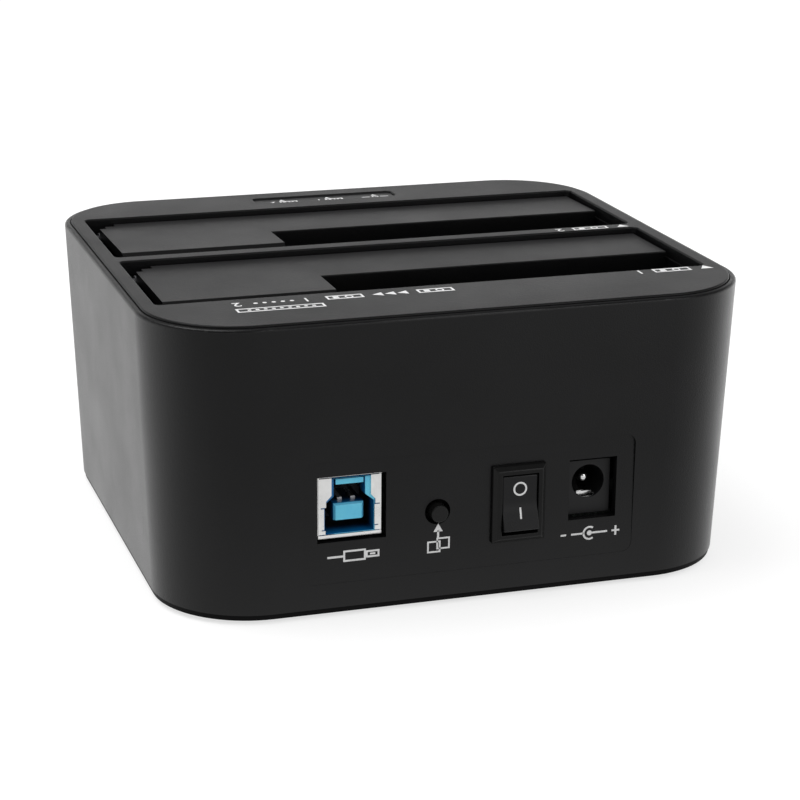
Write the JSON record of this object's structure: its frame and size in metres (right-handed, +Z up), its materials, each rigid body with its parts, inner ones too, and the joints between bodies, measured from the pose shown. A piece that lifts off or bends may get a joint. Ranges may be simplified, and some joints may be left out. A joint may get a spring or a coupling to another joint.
{
  "type": "hard drive docking station",
  "caption": "Low rounded box with upright drive bays under spring flaps, and a rear panel with a square data socket, a small button, a rocker switch and a round power socket.",
  "frame": {"origin": "on the floor, at the middle of the bounding box of the whole, rocker included", "axes": "+Z up; +Y out of the rear panel with the sockets; +X to the viewer's left when looking at that panel"},
  "size_m": [0.1166, 0.1088, 0.0565],
  "materials": {
    "shell_plastic": "matte black, fine texture",
    "plate_plastic": "satin black",
    "flap_plastic": "satin black",
    "frame_plastic": "matte black",
    "window_plastic": "smoked, gloss",
    "foot_rubber": "matte",
    "steel_pin": "plain",
    "spring_wire": "plain",
    "screw_steel": "dark zinc",
    "socket_plastic": "matte black",
    "contact_gold": "gold plated",
    "board_mask": "black solder mask",
    "can_metal": "nickel plated",
    "insert_blue": "blue",
    "jack_plastic": "matte black",
    "jack_metal": "bright plated",
    "switch_plastic": "semi-gloss black",
    "rocker_plastic": "semi-gloss black",
    "button_plastic": "satin black",
    "lens_blue": "clear",
    "ribbon_grey": "pvc",
    "wire_black": "pvc",
    "header_cream": "nylon",
    "chip_epoxy": "moulded epoxy",
    "capacitor_can": "plain"
  },
  "bodies": {
    "dock": {"main_shell": "shell_plastic", "top_plate": "plate_plastic", "led_window": "window_plastic", "drive_cradle": "frame_plastic", "flap_pin_1": "steel_pin", "flap_pin_2": "steel_pin", "flap_spring_1": "spring_wire", "flap_spring_2": "spring_wire", "base_plate": "frame_plastic", "rubber_feet": "foot_rubber", "base_screws": "screw_steel", "cradle_screws": "screw_steel", "board_screws": "screw_steel", "sata_housing_1": "socket_plastic", "sata_housing_2": "socket_plastic", "sata_contacts_1": "contact_gold", "sata_contacts_2": "contact_gold", "main_board": "board_mask", "usb_shell": "can_metal", "usb_insulator": "insert_blue", "usb_contacts": "can_metal", "dc_jack_body": "jack_plastic", "dc_jack_pin": "jack_metal", "dc_jack_contact": "jack_metal", "switch_housing": "switch_plastic", "switch_terminals": "jack_metal", "switch_wires": "wire_black", "tact_switch": "socket_plastic", "led_board": "board_mask", "status_leds": "lens_blue", "led_board_screws": "screw_steel", "led_ribbon": "ribbon_grey", "board_headers": "header_cream", "bridge_chip": "chip_epoxy", "flash_chip": "chip_epoxy", "crystal_can": "can_metal", "power_inductors": "chip_epoxy", "capacitors": "capacitor_can", "regulator_chips": "chip_epoxy"},
    "flap_1": {"flap_1": "flap_plastic"},
    "flap_2": {"flap_2": "flap_plastic"},
    "rocker": {"rocker": "rocker_plastic"},
    "clone_button": {"clone_button": "button_plastic"}
  },
  "joints": [
    {"name": "flap_1_hinge", "type": "hinge", "parent": "dock", "child": "flap_1", "pos_m": [0, 0.00112, 0.05245], "axis": [-1, 0, 0], "range_deg": [0, 88], "stiffness_Nm_per_rad": 0.004, "springref_deg": -57.3},
    {"name": "flap_2_hinge", "type": "hinge", "parent": "dock", "child": "flap_2", "pos_m": [0, -0.03601, 0.05245], "axis": [-1, 0, 0], "range_deg": [0, 88], "stiffness_Nm_per_rad": 0.004, "springref_deg": -57.3},
    {"name": "rocker_tilt", "type": "hinge", "parent": "dock", "child": "rocker", "pos_m": [-0.0093, 0.05107, 0.0189], "axis": [-1, 0, 0], "range_deg": [0, 18]},
    {"name": "button_press", "type": "slide", "parent": "dock", "child": "clone_button", "axis": [0, -1, 0], "range_m": [0, 0.0004], "stiffness_N_per_m": 300, "springref_m": -0.001}
  ]
}
